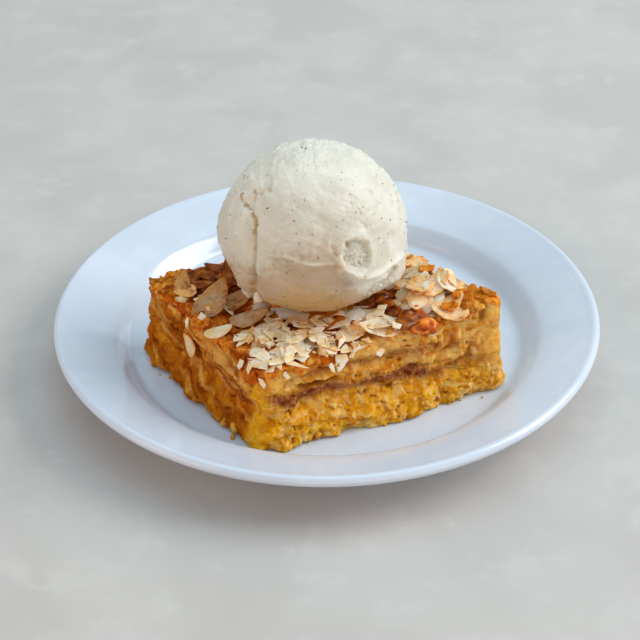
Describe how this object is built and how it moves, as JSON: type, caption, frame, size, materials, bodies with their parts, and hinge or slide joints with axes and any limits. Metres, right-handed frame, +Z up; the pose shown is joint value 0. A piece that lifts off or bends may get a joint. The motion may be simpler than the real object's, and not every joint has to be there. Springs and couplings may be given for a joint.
{
  "type": "bread pudding",
  "caption": "Square slice of almond bread pudding with a ball of vanilla ice cream on top, on a round white dessert plate with a gently raised rim.",
  "frame": {"origin": "centre of the plate's foot ring, on the table", "axes": "+Z up, -Y towards the diner, +X to the diner's right"},
  "size_m": [0.21, 0.21, 0.1],
  "materials": {
    "porcelain": "glossy white glaze, a little cool",
    "custard_bread": "moist golden custard-soaked bread",
    "cinnamon_seam": "soft brown cinnamon seam",
    "crust_bread": "browned crust with toasted almond flakes over pale crumb",
    "vanilla_ice": "soft cream-white ice cream with fine vanilla specks"
  },
  "bodies": {
    "root": {"plate": "porcelain", "lower_bread": "custard_bread", "cinnamon_seam": "cinnamon_seam", "upper_bread": "crust_bread", "ice_cream": "vanilla_ice"}
  },
  "joints": []
}
